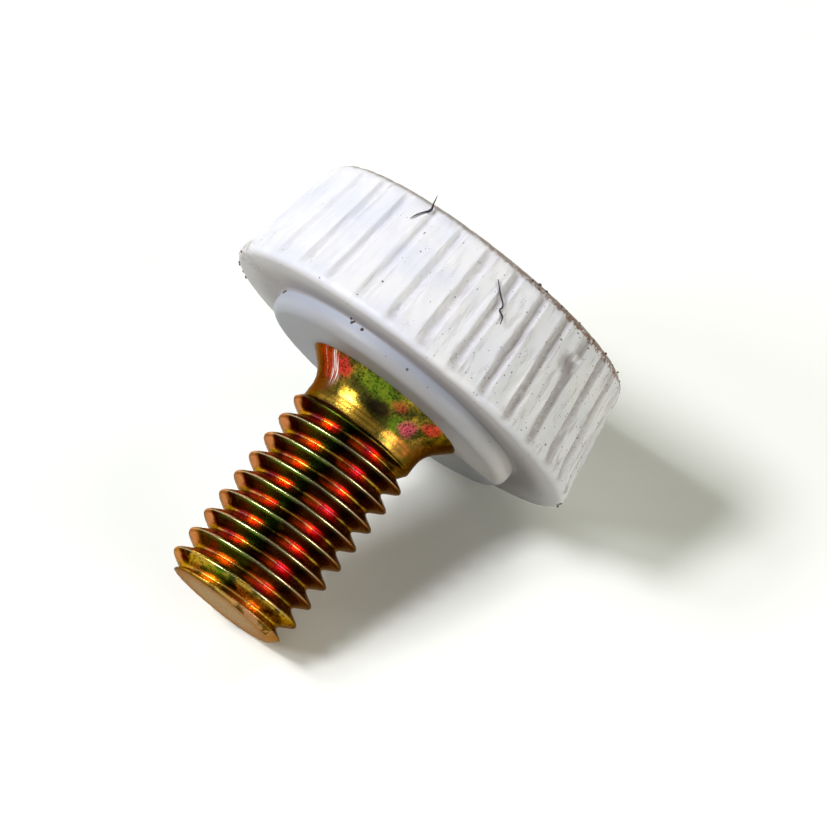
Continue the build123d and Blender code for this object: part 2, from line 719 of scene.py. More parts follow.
@dataclass(frozen=True)
class YellowPlating:
    """Zinc plating whose passivation shimmers gold to red, magenta and green, with painted
    highlights and shade.
    """

    stance: Stance
    pitch: float
    crest_height: float
    neck_end: float
    reach: float
    places: PlatingPlaces = PlatingPlaces()
    gold: Colour = (0.60, 0.36, 0.04, 1.0)
    orange: Colour = (0.72, 0.20, 0.035, 1.0)
    red: Colour = (0.55, 0.035, 0.03, 1.0)
    magenta: Colour = (0.66, 0.08, 0.13, 1.0)
    salmon: Colour = (0.72, 0.30, 0.17, 1.0)
    green: Colour = (0.09, 0.19, 0.01, 1.0)
    olive: Colour = (0.075, 0.07, 0.01, 1.0)
    brown: Colour = (0.15, 0.055, 0.018, 1.0)
    tan: Colour = (0.36, 0.20, 0.10, 1.0)
    black: Colour = (0.014, 0.009, 0.005, 1.0)
    # Painted highlight along the thread's crests.
    pale: Colour = (0.78, 0.62, 0.36, 1.0)
    steel: Colour = (0.40, 0.32, 0.20, 1.0)
    scratch: Colour = grey(0.85)
    edge_tint: Colour = (0.62, 0.42, 0.26, 1.0)
    roughness: float = 0.19

    def material(self) -> bpy.types.Material:
        """Builds the material.

        Returns:
            The finish of the screw.
        """
        material, graph = new_material("plated_steel")
        at = ScrewSurface(graph, self.stance)
        thread = at.z.fall(-self.neck_end - 0.3, -self.neck_end + 0.05)
        colour = graph.mix(thread, self._flare(at), self._turns(at))
        tip = -self.reach
        end_face = at.z.fall(tip + 0.01, tip + 0.03) * at.radius.fall(*self.places.end_rim)
        colour = self._tip(at, colour, end_face)
        scratches = graph.noise(graph.join(at.turn * 60.0, at.z * 0.7, at.radius), 6.0)
        sockets = {
            "Base Color": colour,
            "Metallic": 1.0,
            "Specular Tint": self.edge_tint,
            "Roughness": self.roughness + 0.14 * at.grain + 0.22 * end_face,
            "Normal": graph.bump(at.grain + scratches, 0.3, 0.02),
        }
        finish_surface(graph, sockets)
        return material

    def _tip(self, at: ScrewSurface, colour: Term, end_face: Term) -> Term:
        """Lays the gilding, the bevel and the end face of the tip over the colour.

        Args:
            at: The place on the screw.
            colour: The colour so far.
            end_face: 1 on the flat end.

        Returns:
            The colour with the tip.
        """
        graph, places = at.graph, self.places
        gilt = at.z.fall(*places.gilt) * at.medium.rise(0.4, 0.55)
        gilding = graph.mix(at.grain.rise(0.5, 0.62), self.gold, self.olive)
        bevel = at.z.fall(*places.bevel)
        bevelled = graph.mix(at.seen.rise(60.0, 130.0), self.tan, self.gold)
        bevelled = graph.mix(at.medium.rise(0.5, 0.6), bevelled, self.black)
        outline = bevel * at.z.fall(*places.outline) * at.seen.rise(60.0, 110.0)
        face_tint = graph.mix(at.radius.rise(*places.end_shade), self.steel, self.tan)
        face_tint = graph.mix(at.grain.rise(0.5, 0.7), face_tint, self.brown)
        return graph.coats(
            colour,
            (gilt * 0.7, gilding),
            (bevel * 0.8, bevelled),
            (outline * 0.75, self.black),
            (end_face, face_tint),
        )

    def _head_flank_hues_and_highlights(self) -> list[tuple[float, Colour]]:
        """The head flank's colours, right end to left, with two painted highlights and painted
        dark reflections.
        """
        return [
            (0.0, self.tan), (0.13, self.brown), (0.24, self.olive), (0.33, self.red),
            (0.40, self.magenta), (0.46, self.orange), (0.52, self.black), (0.59, self.olive),
            (0.64, self.red), (0.69, self.orange), (0.76, self.magenta), (0.83, self.brown),
            (0.90, self.gold), (1.0, self.brown),
        ]

    def _tip_flank_hues_and_shade(self) -> list[tuple[float, Colour]]:
        """The tip flank's colours, right end to left, mostly dark with painted shade and dark
        reflections.
        """
        return [
            (0.0, self.tan), (0.14, self.brown), (0.28, self.black), (0.40, self.olive),
            (0.50, self.black), (0.58, self.green), (0.66, self.green), (0.73, self.olive),
            (0.80, self.black), (0.86, self.black), (0.91, self.salmon), (0.97, self.salmon),
            (1.0, self.tan),
        ]

    def _turns(self, at: ScrewSurface) -> Term:
        """The colours of the thread, with painted highlights, reflections and shade.

        Args:
            at: The place on the screw.

        Returns:
            The colour of the threaded part.
        """
        graph = at.graph
        phase = ((at.z - self.crest_height) / self.pitch - at.turn).part()
        across = (at.seen / 180.0 + (at.medium - 0.5) * 0.16).within(0.0, 1.0)
        # The flanks' hues change across the screw as seen, with painted highlights towards the
        # head and painted shade towards the tip.
        colour = graph.mix(
            phase.rise(0.03, 0.08) * phase.fall(0.56, 0.66),
            graph.ramp(across, self._tip_flank_hues_and_shade()),
            graph.ramp(across, self._head_flank_hues_and_highlights()),
        )
        root = phase.band(0.45, 0.55, 0.05)
        root_tint = graph.mix(at.medium.rise(0.42, 0.58), self.gold, self.black)
        # Painted highlight along the crests, paler towards the lit left side.
        crest = phase.fall(0.0, 0.045) + phase.rise(0.955, 1.0)
        crest_highlight_tint = graph.mix(at.seen.rise(20.0, 70.0), self.tan, self.pale)
        edge = phase.band(0.07, 0.11, 0.03) + phase.band(0.89, 0.93, 0.03)
        return graph.coats(
            colour,
            (root * 0.55, root_tint),
            (crest * (0.2 + 0.9 * at.grain), crest_highlight_tint),
            (edge * 0.5, self.black),
        )

    def _flare(self, at: ScrewSurface) -> Term:
        """The colours of the neck and the flare, with the streaks, the stains and a painted
        highlight on them.

        Args:
            at: The place on the screw.

        Returns:
            The colour of the part above the thread.
        """
        graph = at.graph
        flare = graph.mix(at.medium.rise(0.25, 0.6), self.gold, self.olive)
        drift = (at.medium - 0.5) * 1.2
        for seen, z, wide, tall, tint, strength in self._flare_stains_and_highlight():
            flare = graph.mix(at.patch(seen, z, wide, tall, drift) * strength, flare, tint)
        speckle = (at.grain * (0.75 + 0.5 * at.medium)).rise(0.46, 0.62)
        speckle = speckle * at.z.rise(*self.places.speckle)
        streaks = graph.noise(graph.join(at.turn * 90.0, at.z * 0.35, 0.0), 2.2)
        streak = streaks.rise(0.55, 0.61) * at.patch(143.0, -0.5, 12.0, 0.9, drift)
        ring = (at.z * 4.5).part().band(0.45, 0.5, 0.3)
        ring = ring * at.z.band(*self.places.neck_rings, 0.1)
        return graph.coats(
            flare,
            (speckle * 0.75, self.black),
            (streak * 0.85, self.scratch),
            (ring * 0.6, self.brown),
        )

    def _flare_stains_and_highlight(self) -> list[tuple[float, float, float, float, Colour, float]]:
        """The stains and a painted highlight: middle as seen, height, half width, half height,
        colour and strength.
        """
        return [
            (100.0, -1.6, 36.0, 0.4, self.gold, 0.85),
            (14.0, -1.2, 40.0, 1.2, self.brown, 0.85),
            (50.0, -1.5, 26.0, 0.4, self.orange, 0.45),
            (96.0, -0.35, 30.0, 0.6, self.green, 0.8),
            (68.0, -0.95, 14.0, 0.45, self.green, 0.85),
            (168.0, -0.7, 44.0, 1.7, self.brown, 0.95),
            (148.0, -0.5, 18.0, 0.9, self.red, 0.6),
            (130.0, -0.35, 11.0, 0.5, self.red, 0.9),
            (152.0, -1.35, 20.0, 0.5, self.brown, 0.85),
            (112.0, -0.75, 20.0, 0.25, self.olive, 0.85),
            # A painted highlight of yellow on the neck.
            (118.0, -1.25, 13.0, 0.35, self.gold, 1.0),
            (56.0, -1.65, 18.0, 0.3, self.olive, 0.6),
            (90.0, -0.95, 20.0, 0.45, self.black, 0.95),
            (76.0, -0.4, 9.0, 0.3, self.red, 0.45),
            (57.0, -0.85, 12.0, 0.45, self.magenta, 0.85),
            (46.0, -0.25, 11.0, 0.35, self.red, 0.9),
            (10.0, -0.25, 24.0, 0.5, self.brown, 0.85),
        ]


@dataclass(frozen=True)
class PlainFinish:
    """One even colour, for dirt and lint."""

    name: str
    colour: Colour
    roughness: float = 0.8

    def material(self) -> bpy.types.Material:
        """Builds the material.

        Returns:
            The finish of the dirt or the lint.
        """
        material, graph = new_material(self.name)
        finish_surface(graph, {"Base Color": self.colour, "Roughness": self.roughness})
        return material


def linked(name: str, data: bpy.types.ID) -> bpy.types.Object:
    """Makes an object and links it into the scene.

    Args:
        name: The object's name.
        data: Its mesh, curve, light or camera.

    Returns:
        The object.
    """
    made = bpy.data.objects.new(name, data)
    bpy.context.scene.collection.objects.link(made)
    return made


def mesh_object(name: str, points: np.ndarray, faces: Sequence[Sequence[int]]) -> bpy.types.Object:
    """Makes a linked object from points and faces.

    Args:
        name: The object's name.
        points: One row of x, y and z for each vertex.
        faces: The vertex numbers of each face.

    Returns:
        The object.
    """
    mesh = bpy.data.meshes.new(name)
    mesh.from_pydata([tuple(point) for point in points], [], faces)
    mesh.update()
    return linked(name, mesh)


def evaluated_mesh(made: bpy.types.Object) -> bpy.types.Mesh:
    """The plain mesh that an object's modifiers or its curve make."""
    depsgraph = bpy.context.evaluated_depsgraph_get()
    return bpy.data.meshes.new_from_object(made.evaluated_get(depsgraph))


def grid_faces(rows: int, columns: int) -> list[tuple[int, int, int, int]]:
    """The quads of an open grid whose points run row by row.

    Args:
        rows: How many rows of points there are.
        columns: How many points stand in a row.

    Returns:
        The vertex numbers of each quad.
    """
    starts = [
        row * columns + column for row in range(rows - 1) for column in range(columns - 1)
    ]
    return [(start, start + 1, start + columns + 1, start + columns) for start in starts]


def lay_down(made: bpy.types.Object, stance: Stance) -> None:
    """Moves an upright mesh in millimetres to its place in the frame."""
    made.data.transform(stance.matrix)
    made.data.update()


class GeometryTree:
    """A Geometry Nodes tree with named inputs, applied once and then removed."""

    def __init__(
        self, name: str, material: bpy.types.Material, sizes: dict[str, int | float]
    ) -> None:
        """Starts the tree with its geometry, its sizes and its material as inputs.

        Args:
            name: The tree's name.
            material: What the tree sets on its result.
            sizes: The name and the value of each size or count.
        """
        self.material = material
        self.tree = bpy.data.node_groups.new(name, "GeometryNodeTree")
        self.values: dict[str, object] = {}
        interface = self.tree.interface
        for way in ("INPUT", "OUTPUT"):
            interface.new_socket("Geometry", in_out=way, socket_type="NodeSocketGeometry")
        for label, value in {**sizes, "Material": material}.items():
            kind = self._socket_kind(value)
            socket = interface.new_socket(label, in_out="INPUT", socket_type=kind)
            self.values[socket.identifier] = value
        self.graph = Graph(self.tree)
        self._entry = self.graph.node("NodeGroupInput")

    @staticmethod
    def _socket_kind(value: object) -> str:
        """Blender's name of the socket type for a value."""
        if isinstance(value, bpy.types.Material):
            return "NodeSocketMaterial"
        return "NodeSocketInt" if isinstance(value, int) else "NodeSocketFloat"

    def given(self, name: str) -> Term:
        """One of the tree's named inputs."""
        return self.graph.out(self._entry, name)

    def line(self, count: Term, **spacing: "Term | Sequence[float]") -> Term:
        """A line of points, with its Start Location and its Offset."""
        inputs = {"Count": count}
        inputs |= {name.replace("_", " "): value for name, value in spacing.items()}
        return self.graph.term("GeometryNodeMeshLine", None, inputs)

    def copies(self, points: Term, shape: Term, **fit: Term) -> Term:
        """A copy of a shape on each point, with its Rotation or Scale."""
        inputs = {"Points": points, "Instance": shape, **fit}
        return self.graph.term("GeometryNodeInstanceOnPoints", None, inputs)

    def welded(self, geometry: Term) -> Term:
        """Makes copies real and joins the points that fall together."""
        real = self.graph.term("GeometryNodeRealizeInstances", None, {"Geometry": geometry})
        inputs = {"Geometry": real, "Distance": WELD_DISTANCE}
        return self.graph.term("GeometryNodeMergeByDistance", None, inputs)

    def moved(self, geometry: Term, **where: Term) -> Term:
        """Sets the points' Position, or moves them by an Offset."""
        inputs = {"Geometry": geometry, **where}
        return self.graph.term("GeometryNodeSetPosition", None, inputs)

    def close(self, geometry: Term) -> None:
        """Ends the tree in smooth shading, Realize Instances and Set Material.

        Args:
            geometry: The finished shape.
        """
        for kind in ("GeometryNodeSetShadeSmooth", "GeometryNodeRealizeInstances"):
            geometry = self.graph.term(kind, None, {"Geometry": geometry})
        inputs = {"Geometry": geometry, "Material": self.given("Material")}
        dressed = self.graph.term("GeometryNodeSetMaterial", None, inputs)
        self.graph.node("NodeGroupOutput", None, {"Geometry": dressed})

    def apply(self, made: bpy.types.Object) -> None:
        """Turns an object into the plain mesh that the tree makes of it.

        Args:
            made: The object, whose mesh is the tree's first geometry.
        """
        modifier = made.modifiers.new(self.tree.name, "NODES")
        modifier.node_group = self.tree
        for identifier, value in self.values.items():
            modifier[identifier] = value
        result = evaluated_mesh(made)
        made.modifiers.remove(modifier)
        made.data = result
        if not result.materials:
            result.materials.append(self.material)


def rounded_edge(
    radius: float, height: float, size: float, turns: Iterable[float]
) -> list[Span]:
    """A rounded lower edge, from the flat face under it out to the wall.

    Args:
        radius: The radius of the wall.
        height: The height of the flat face.
        size: The radius of the rounding.
        turns: The angles of its points, in degrees, 90 where it meets the wall.

    Returns:
        The radius and the height of each point.
    """
    return [
        (radius - size * (1 - math.sin(turn)), height + size * (1 - math.cos(turn)))
        for turn in np.radians(turns)
    ]


@dataclass
class Grip:
    """The white ribbed head with its boss."""

    rib_count: int = 33
    rim_radius: float = 8.45
    top_radius: float = 7.63
    boss_height: float = 0.9
    height: float = 5.6
    rim_round: float = 0.35
    top_round: float = 0.75
    boss_radius: float = 6.0
    boss_round: float = 0.5
    crease: float = 0.02
    crease_lip: float = 0.015
    hole_radius: float = 3.6
    hole_lip: Sequence[Span] = ((0.12, 0.5), (0.06, 0.06))
    wall_heights: Span = (0.7, 0.84)
    under_radii: Span = (6.2, 8.0)
    groove_depth: float = 0.22
    groove_end_depth: float = 0.04
    groove_runout: float = 0.75
    groove_share: float = 0.18
    groove_power: float = 1.15
    rib_sink: float = 0.07
    rib_edge_start: float = 0.8
    rib_edge_round: float = 0.10
    moulding_wave: float = 0.05
    streak_depth: float = 0.06
    chip_seen: float = 50.0
    chip_height: float = 4.9
    chip_depth: float = 0.16
    boss_rings: int = 8
    under_rings: int = 9
    rim_rings: int = 7
    side_rings: int = 34
    top_edge_rings: int = 11
    top_rings: Sequence[float] = (6.5, 6.0, 5.0, 3.8, 2.5, 1.2, 0.4, 0.0)
    rib_columns: Sequence[float] = (
        0.0, 0.08, 0.16, 0.22, 0.265, 0.29, 0.31, 0.33, 0.35, 0.38, 0.41, 0.44, 0.47, 0.5,
    )

    def build(self, stance: Stance) -> bpy.types.Object:
        """Builds the dressed grip.

        Args:
            stance: How the knob lies in the frame.

        Returns:
            The grip's object, in place.
        """
        made = self._rib_sector()
        self._ring_tree(GripPlastic(stance, self.rib_count).material()).apply(made)
        lay_down(made, stance)
        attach(made, "root")
        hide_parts(NodeName.GRIP.value)
        return made

    @property
    def side_rise(self) -> float:
        """The height of the sloping side between its two rounded edges."""
        return self.height - self.rim_round - self.top_round

    def side_radius(self, height: float) -> float:
        """The radius of the ribs' crests at a height on the sloping side."""
        rise = height - self.boss_height - self.rim_round
        return self.rim_radius - (self.rim_radius - self.top_radius) / self.side_rise * rise

    def _profile(self) -> list[tuple[float, float, float]]:
        """The grip's outline, from the hole to the middle of the top.

        Returns:
            The radius, the height and the depth of the grooves at each station.
        """
        under, wall, gap = self.boss_height, self.boss_radius, self.crease
        plain = [(self.hole_radius - inset, height) for inset, height in self.hole_lip]
        face = np.linspace(self.hole_radius, wall - self.boss_round, self.boss_rings)
        plain += [(radius, 0.0) for radius in face]
        plain += rounded_edge(wall, 0.0, self.boss_round, np.linspace(8, 90, self.boss_rings))
        low, high = self.wall_heights
        plain += [(wall, low), (wall - gap, high), (wall + gap, under + self.crease_lip)]
        plain += [(radius, under) for radius in np.linspace(*self.under_radii, self.under_rings)]
        stations = [(*place, 0.0) for place in plain]
        turns = np.linspace(12, 90, self.rim_rings)
        rim = rounded_edge(self.rim_radius, under, self.rim_round, turns)
        stations += [(*place, self.groove_end_depth) for place in rim]
        for rise in np.linspace(0.08, self.side_rise, self.side_rings):
            height = under + self.rim_round + rise
            share = min(rise / self.groove_runout, 1.0)
            smooth = share * share * (3 - 2 * share)
            depth = self.groove_end_depth + (self.groove_depth - self.groove_end_depth) * smooth
            stations.append((self.side_radius(height), height, depth))
        side_top = under + self.height - self.top_round
        for turn in np.radians(np.linspace(9, 90, self.top_edge_rings)):
            inset = self.top_round * (1 - math.cos(turn))
            height = side_top + self.top_round * math.sin(turn)
            depth = max(self.groove_depth - inset, self.groove_end_depth)
            stations.append((self.top_radius - inset, height, depth))
        return stations + [(radius, under + self.height, 0.0) for radius in self.top_rings]

    def _dip(self, share: float, depth: float) -> float:
        """How far a point lies below the edges of its rib.

        Args:
            share: Its place from the rib's middle, 0, to the middle of a groove, 0.5.
            depth: The depth of the groove at that height.

        Returns:
            The dip in millimetres.
        """
        edge = 0.5 - self.groove_share
        if share <= edge:
            sink = min(self.rib_sink, depth / 4) * (1 - (share / edge) ** 2)
            start = self.rib_edge_start
            bend = max(0.0, (share / edge - start) / (1 - start)) ** 2
            return sink + self.rib_edge_round * depth * bend
        fall = math.sin((share - edge) / self.groove_share * math.pi / 2) ** self.groove_power
        return depth * (self.rib_edge_round + (1 - self.rib_edge_round) * fall)

    def _rib_sector(self) -> bpy.types.Object:
        """Draws one rib between the middles of its two grooves, over the whole profile.

        Returns:
            The rib's object.
        """
        shares = [-share for share in reversed(self.rib_columns[1:])] + list(self.rib_columns)
        profile = self._profile()
        points = []
        for radius, height, depth in profile:
            for share in shares:
                azimuth = (share + 0.5) * math.tau / self.rib_count
                reach = max(radius - self._dip(abs(share), depth), 0.0) if depth else radius
                points.append((reach * math.cos(azimuth), reach * math.sin(azimuth), height))
        return mesh_object("Grip", np.array(points), grid_faces(len(profile), len(shares)))

    def _ring_tree(self, material: bpy.types.Material) -> GeometryTree:
        """The tree that sets the ribs round the axis and gives them a moulded unevenness.

        Args:
            material: The grip's finish.

        Returns:
            The tree.
        """
        sizes = {
            "Rib Count": self.rib_count,
            "Moulding Wave": self.moulding_wave,
            "Streak Depth": self.streak_depth,
        }
        tree = GeometryTree("rib_ring", material, sizes)
        graph = tree.graph
        count = tree.given("Rib Count")
        angle = graph.term("GeometryNodeInputIndex") * math.tau / count
        places = tree.line(count, Offset=(0.0, 0.0, 0.0))
        ring = tree.copies(places, tree.given("Geometry"), Rotation=graph.join(0.0, 0.0, angle))

        place = graph.term("GeometryNodeInputPosition")
        x, y, z = graph.split(place)
        on_side = (x * x + y * y).root().rise(6.8, 7.4) * z.rise(1.2, 1.8)
        broad = graph.noise(graph.join(x, y, z * 0.3), 1.1)
        wave = broad + graph.noise(place, 3.2, 1.0) * 0.35 - 0.82
        streak = graph.noise(graph.join(x, y, z * 0.06), 2.6, 2.0, 0.6).rise(0.52, 0.72)
        out = tree.given("Moulding Wave") * (wave * 2.0).at_most(0.0) * on_side
        out = out - tree.given("Streak Depth") * streak * on_side - self._chip(graph, x, y, z)
        normal = graph.term("GeometryNodeInputNormal")
        inputs = {0: normal, "Scale": out}
        shift = graph.term("ShaderNodeVectorMath", {"operation": "SCALE"}, inputs)
        tree.close(tree.moved(tree.welded(ring), Offset=shift))
        return tree

    def _chip(self, graph: Graph, x: Term, y: Term, z: Term) -> Term:
        """The nick in one rib.

        Args:
            graph: The tree's graph.
            x: The place on the axis of azimuth 0.
            y: The place on the axis of azimuth 90.
            z: The height.

        Returns:
            The nick's depth at that place.
        """
        azimuth = SEEN.azimuth(self.chip_seen)
        radius = self.top_radius + 0.2
        across = x * (-math.sin(azimuth)) + y * math.cos(azimuth)
        facing = (x * math.cos(azimuth) + y * math.sin(azimuth)).rise(radius - 2.5, radius - 1.0)
        along = z - self.chip_height
        off = (across * across * 1.3 + along * along * 3.0).root()
        return off.fall(0.1, 0.75) * facing * self.chip_depth


@dataclass
class Screw:
    """The plated countersunk screw that stands out of the boss."""

    pitch: float = 1.0
    thread_radius: float = 2.95
    thread_depth: float = 0.61
    land: float = 0.15
    flank_angle: float = 30.0
    crest_blur: float = 0.07
    crest_height: float = -0.566
    reach: float = 10.9
    tip_chamfer: float = 0.5
    neck_step: float = 0.25
    neck_end: float = 1.95
    runout: float = 0.5
    flare_radius: float = 3.62
    flare_bend: float = 1.3
    flare_angle: float = 45.0
    head_radius: float = 5.5
    head_land: float = 0.35
    columns: int = 144
    rows_per_turn: int = 28
    blur_samples: int = 9

    def build(self, stance: Stance) -> bpy.types.Object:
        """Builds the dressed screw.

        Args:
            stance: How the knob lies in the frame.

        Returns:
            The screw's object, in place.
        """
        finish = YellowPlating(stance, self.pitch, self.crest_height, self.neck_end, self.reach)
        made = self._one_turn()
        self._thread_tree(finish.material()).apply(made)
        lay_down(made, stance)
        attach(made, "root")
        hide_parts(NodeName.SCREW.value)
        return made

    def _form(self, off_crest: np.ndarray) -> np.ndarray:
        """The form of the thread, with its corners blurred.

        Args:
            off_crest: Distances along the axis from the middle of a crest.

        Returns:
            The radius at each distance.
        """
        steep = 1 / math.tan(math.radians(self.flank_angle))
        blur = np.linspace(-self.crest_blur, self.crest_blur, self.blur_samples)
        near = np.abs((off_crest[:, None] + blur + self.pitch / 2) % self.pitch - self.pitch / 2)
        fall = np.clip((near - self.land / 2) * steep, 0.0, self.thread_depth)
        return self.thread_radius - fall.mean(axis=1)

    def _one_turn(self) -> bpy.types.Object:
        """Draws one turn of the thread as a strip that climbs by one pitch.

        Returns:
            The turn's object.
        """
        climb = np.linspace(0.0, self.pitch, self.rows_per_turn + 1)
        turns = np.linspace(0.0, 1.0, self.columns + 1)
        points = [
            (
                radius * math.cos(turn * math.tau),
                radius * math.sin(turn * math.tau),
                height + turn * self.pitch,
            )
            for height, radius in zip(climb, self._form(climb))
            for turn in turns
        ]
        return mesh_object("Screw", np.array(points), grid_faces(len(climb), len(turns)))

    def _thread_tree(self, material: bpy.types.Material) -> GeometryTree:
        """The tree that stacks the turns and shapes them into tip, neck, flare and head.

        Args:
            material: The screw's finish.

        Returns:
            The tree.
        """
        head_top = self.head_radius - self.flare_radius + self.head_land
        below = math.ceil(self.reach / self.pitch) + 2
        turns = below + math.ceil(head_top / self.pitch) + 1
        tree = GeometryTree("screw_turns", material, {"Turns": turns, "Pitch": self.pitch})
        graph = tree.graph
        places = tree.line(
            tree.given("Turns"),
            Start_Location=(0.0, 0.0, self.crest_height - below * self.pitch),
            Offset=graph.join(0.0, 0.0, tree.given("Pitch")),
        )
        stack = tree.welded(tree.copies(places, tree.given("Geometry")))
        tree.close(tree.welded(tree.moved(stack, Position=self._shape(graph, head_top))))
        return tree

    def _shape(self, graph: Graph, head_top: float) -> Term:
        """Where each point of the endless thread goes on the real screw.

        Args:
            graph: The tree's graph.
            head_top: The height of the top of the buried head.

        Returns:
            The point's place.
        """
        x, y, z = graph.split(graph.term("GeometryNodeInputPosition"))
        radius = (x * x + y * y).root()
        neck = self.thread_radius - self.neck_step
        root = self.thread_radius - self.thread_depth
        into_thread = (-self.neck_end - z).at_least(0.0)
        plug = neck - into_thread * ((neck - root) / self.runout)
        shank = radius.at_least(plug).at_most(neck + into_thread)
        tip_start = self.tip_chamfer - self.reach
        shank = shank.at_most(self.thread_radius - (tip_start - z).at_least(0.0))

        turn = math.radians(self.flare_angle)
        bend_height = self.flare_bend * math.sin(turn)
        cone_foot = neck + self.flare_bend * (1 - math.cos(turn)) - self.flare_radius
        along = (z - (cone_foot - bend_height)).within(0.0, bend_height)
        arc = self.flare_bend - (self.flare_bend**2 - along * along).root()
        body = (shank + arc + (z - cone_foot).at_least(0.0)).at_most(self.head_radius)

        past_top = ((z - head_top) / self.pitch).at_least(0.0)
        past_tip = ((-self.reach - z) / self.pitch).at_least(0.0)
        final = body * (1 - past_top - past_tip).at_least(0.0)
        return graph.join(x / radius * final, y / radius * final, z.within(-self.reach, head_top))


@dataclass
class Lint:
    """A fine dark hair that lies on the ribs."""

    name: str
    places: Sequence[Span]
    knot: int = -1
    radius: float = 0.03
    lift: float = 0.03
    end_share: float = 0.5
    knot_share: float = 2.0
    colour: Colour = (0.03, 0.02, 0.035, 1.0)

    def build(self, stance: Stance, grip: Grip) -> bpy.types.Object:
        """Builds the hair.

        Args:
            stance: How the knob lies in the frame.
            grip: The grip that it lies on.

        Returns:
            The hair's object, in place.
        """
        curve = bpy.data.curves.new(self.name, "CURVE")
        curve.dimensions = "3D"
        curve.bevel_depth = self.radius
        curve.bevel_resolution = 2
        points = curve.splines.new("BEZIER").bezier_points
        points.add(len(self.places) - 1)
        for point, (seen, height) in zip(points, self.places):
            azimuth = SEEN.azimuth(seen)
            reach = grip.side_radius(height) + self.lift
            point.co = (reach * math.cos(azimuth), reach * math.sin(azimuth), height)
            point.handle_left_type = point.handle_right_type = "AUTO"
            point.radius = 1.0
        points[0].radius = points[-1].radius = self.end_share
        if self.knot >= 0:
            points[self.knot].radius = self.knot_share
        rough = linked(self.name, curve)
        mesh = evaluated_mesh(rough)
        bpy.data.objects.remove(rough)
        made = linked(self.name, mesh)
        mesh.materials.clear()
        mesh.materials.append(PlainFinish(self.name, self.colour).material())
        lay_down(made, stance)
        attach(made, "root")
        return made


@dataclass
class Crumbs:
    """Small crumbs of dirt that stick to one stretch of an edge of the grip."""

    name: str
    count: int
    seen_from: float
    seen_to: float
    radius: float
    height: float
    spread: float = 0.12
    size: float = 0.10
    seed: int = 3
    sunk: float = 0.08
    smallest: float = 0.35
    stretch: Span = (0.6, 1.4)
    colour: Colour = (0.09, 0.06, 0.045, 1.0)

    def build(self, stance: Stance) -> bpy.types.Object:
        """Builds the crumbs.

        Args:
            stance: How the knob lies in the frame.

        Returns:
            The object that holds them, in place.
        """
        sizes = {
            "Count": self.count,
            "Size": self.size,
            "Edge Radius": self.radius,
            "Edge Height": self.height,
            "Spread": self.spread,
        }
        tree = GeometryTree(self.name, PlainFinish(self.name, self.colour).material(), sizes)
        graph, spread = tree.graph, tree.given("Spread")
        first, last = sorted((SEEN.azimuth(self.seen_from), SEEN.azimuth(self.seen_to)))
        azimuth = self._lot(graph, first, last, 0)
        reach = tree.given("Edge Radius") - self._lot(graph, self.sunk, self.sunk + spread, 1)
        height = tree.given("Edge Height") + self._lot(graph, 0.0 - spread, spread, 2)
        x, y = graph.math("COSINE", azimuth) * reach, graph.math("SINE", azimuth) * reach
        strewn = tree.moved(tree.line(tree.given("Count")), Position=graph.join(x, y, height))
        inputs = {"Radius": 1.0, "Subdivisions": 3}
        crumb = graph.term("GeometryNodeMeshIcoSphere", None, inputs)
        scale = tree.given("Size") * self._lot(graph, self.smallest, 1.0, 3)
        long = scale * self._lot(graph, *self.stretch, 4)
        tree.close(tree.copies(strewn, crumb, Scale=graph.join(scale, long, scale)))
        made = mesh_object(self.name, np.zeros((1, 3)), [])
        tree.apply(made)
        lay_down(made, stance)
        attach(made, "root")
        return made

    def _lot(
        self, graph: Graph, low: "Term | float", high: "Term | float", channel: int
    ) -> Term:
        """A random number for each crumb.

        Args:
            graph: The tree's graph.
            low: The least that it can be.
            high: The most that it can be.
            channel: Tells one use of the group's seed from another.

        Returns:
            The number.
        """
        inputs = {"Min_001": low, "Max_001": high, "Seed": self.seed * 10 + channel}
        settings = {"data_type": "FLOAT"}
        return graph.term("FunctionNodeRandomValue", settings, inputs, "Value_001")


def direction(azimuth: float, elevation: float) -> Vector:
    """The unit vector towards a point of the sky.

    Args:
        azimuth: Its angle round the Z axis, in degrees.
        elevation: Its angle above the floor, in degrees.

    Returns:
        The vector.
    """
    turn, rise = math.radians(azimuth), math.radians(elevation)
    return Vector(
        (math.cos(turn) * math.cos(rise), math.sin(turn) * math.cos(rise), math.sin(rise))
    )


def set_pose(made: bpy.types.Object, place: Vector, turn: Quaternion) -> None:
    """Gives an object its place and its turn.

    Args:
        made: The lamp or the camera.
        place: Where it goes.
        turn: Its turn.
    """
    made.location = place
    made.rotation_mode = "QUATERNION"
    made.rotation_quaternion = turn


@dataclass(frozen=True)
class Lamp:
    """A round soft lamp; its level is the brightness of a white surface that faces it."""

    name: str
    azimuth: float
    elevation: float
    size: float
    level: float
    colour: tuple[float, float, float]
    distance: float = 0.6

    def build(self, aim: Vector) -> None:
        """Builds the lamp.

        Args:
            aim: What it points at.
        """
        light = bpy.data.lights.new(self.name, "AREA")
        light.shape = "DISK"
        light.size = self.size
        light.color = self.colour
        light.energy = self.level * math.pi**2 * self.distance**2
        made = linked(self.name, light)
        toward = direction(self.azimuth, self.elevation)
        set_pose(made, aim + toward * self.distance, toward.to_track_quat("Z", "Y"))


COOL_LIGHT = (0.985, 0.985, 1.045)
WARM_LIGHT = (1.0, 0.99, 0.86)


